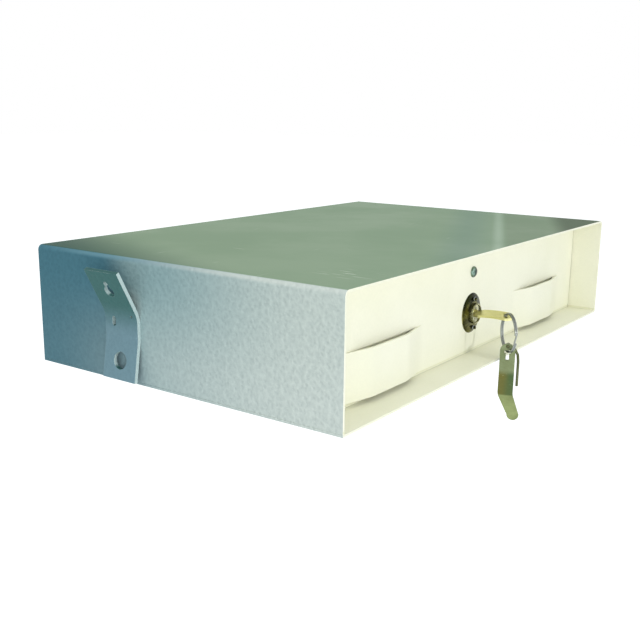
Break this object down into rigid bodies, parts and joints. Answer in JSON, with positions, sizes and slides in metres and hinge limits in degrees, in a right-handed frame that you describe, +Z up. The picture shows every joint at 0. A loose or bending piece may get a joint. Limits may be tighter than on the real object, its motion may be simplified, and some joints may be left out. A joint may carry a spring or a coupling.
{
  "type": "under desk drawer safe",
  "caption": "Low steel case fixed under a desk, with a roller drawer, lanced finger pulls, a keyed slide bolt, bent side straps and a spare key on a split ring.",
  "frame": {"origin": "centre of the case's flat top face, which goes against the underside of the desk", "axes": "+Z up, square to the desk; the drawer opens towards -Y, and +X is on the right of someone who faces the drawer"},
  "size_m": [0.5346, 0.3335, 0.1505],
  "materials": {
    "case_paint": "orange-peel powder coat, cool grey-green",
    "front_paint": "smooth warm white powder coat",
    "zinc_steel": "zinc plated",
    "nylon": "moulded",
    "dark_brass": "polished, darkened",
    "brass": "satin",
    "bright_steel": "nickel plated",
    "key_steel": "oiled nickel plate"
  },
  "bodies": {
    "case": {"case_sleeve": "case_paint", "case_floor": "front_paint", "case_rear_panel": "case_paint", "strike_plate": "zinc_steel", "left_mounting_strap": "case_paint", "right_mounting_strap": "case_paint", "left_case_rail": "zinc_steel", "right_case_rail": "zinc_steel", "left_case_axle": "zinc_steel", "right_case_axle": "zinc_steel"},
    "drawer": {"drawer_front": "front_paint", "drawer_tray": "front_paint", "tray_front_wall": "front_paint", "tray_rear_wall": "front_paint", "left_drawer_rail": "zinc_steel", "right_drawer_rail": "zinc_steel", "left_drawer_axle": "zinc_steel", "right_drawer_axle": "zinc_steel", "lock_cover": "zinc_steel", "lock_case": "zinc_steel", "lock_barrel": "dark_brass", "lock_rose": "dark_brass", "rose_rivet_upper": "bright_steel", "rose_rivet_lower": "bright_steel", "lock_screw": "bright_steel"},
    "bolt": {"lock_bolt": "brass"},
    "rotor": {"lock_rotor": "dark_brass", "lock_wafer_1": "brass", "lock_wafer_2": "brass", "lock_wafer_3": "brass", "lock_wafer_4": "brass"},
    "key": {"key": "brass"},
    "ring": {"split_ring": "bright_steel"},
    "spare_key": {"spare_key": "key_steel", "spare_key_pivot": "key_steel"},
    "spare_key_shank": {"spare_key_shank": "key_steel"},
    "left_case_wheel": {"left_case_wheel": "nylon"},
    "left_drawer_wheel": {"left_drawer_wheel": "nylon"},
    "right_case_wheel": {"right_case_wheel": "nylon"},
    "right_drawer_wheel": {"right_drawer_wheel": "nylon"}
  },
  "joints": [
    {"name": "drawer_slide", "type": "slide", "parent": "case", "child": "drawer", "axis": [0, -1, 0], "range_m": [0, 0.2]},
    {"name": "left_case_wheel_spin", "type": "hinge", "parent": "case", "child": "left_case_wheel", "pos_m": [-0.237, -0.108, -0.0655], "axis": [1, 0, 0], "range_deg": [0, 1320]},
    {"name": "left_drawer_wheel_spin", "type": "hinge", "parent": "drawer", "child": "left_drawer_wheel", "pos_m": [-0.237, 0.112, -0.0695], "axis": [1, 0, 0], "range_deg": [0, 1320]},
    {"name": "right_case_wheel_spin", "type": "hinge", "parent": "case", "child": "right_case_wheel", "pos_m": [0.237, -0.108, -0.0655], "axis": [1, 0, 0], "range_deg": [0, 1320]},
    {"name": "right_drawer_wheel_spin", "type": "hinge", "parent": "drawer", "child": "right_drawer_wheel", "pos_m": [0.237, 0.112, -0.0695], "axis": [1, 0, 0], "range_deg": [0, 1320]},
    {"name": "key_turn", "type": "hinge", "parent": "drawer", "child": "rotor", "pos_m": [0, -0.117, -0.062], "axis": [0, 1, 0], "range_deg": [0, 90]},
    {"name": "bolt_slide", "type": "slide", "parent": "drawer", "child": "bolt", "axis": [0, 0, 1], "range_m": [0, 0.00777]},
    {"name": "key_withdraw", "type": "slide", "parent": "rotor", "child": "key", "axis": [0, -1, 0], "range_m": [0, 0.035]},
    {"name": "ring_swing", "type": "hinge", "parent": "key", "child": "ring", "pos_m": [-0.00241, -0.15936, -0.05977], "axis": [-0.7071, 0.7071, 0], "range_deg": [0, 40]},
    {"name": "spare_key_swing", "type": "hinge", "parent": "ring", "child": "spare_key", "pos_m": [-0.00869, -0.16563, -0.08898], "axis": [0.7071, 0.7071, 0], "range_deg": [-15, 15]},
    {"name": "spare_key_fold", "type": "hinge", "parent": "spare_key", "child": "spare_key_shank", "pos_m": [-0.00869, -0.16563, -0.08428], "axis": [-0.9397, -0.342, 0], "range_deg": [0, 120]}
  ],
  "couplings": [
    {"joint": "left_case_wheel_spin", "follows": "drawer_slide", "rad_per_m": 114.94},
    {"joint": "left_drawer_wheel_spin", "follows": "drawer_slide", "rad_per_m": 114.94},
    {"joint": "right_case_wheel_spin", "follows": "drawer_slide", "rad_per_m": 114.94},
    {"joint": "right_drawer_wheel_spin", "follows": "drawer_slide", "rad_per_m": 114.94},
    {"joint": "key_turn", "follows": "bolt_slide", "rad_per_m": 201.95}
  ]
}
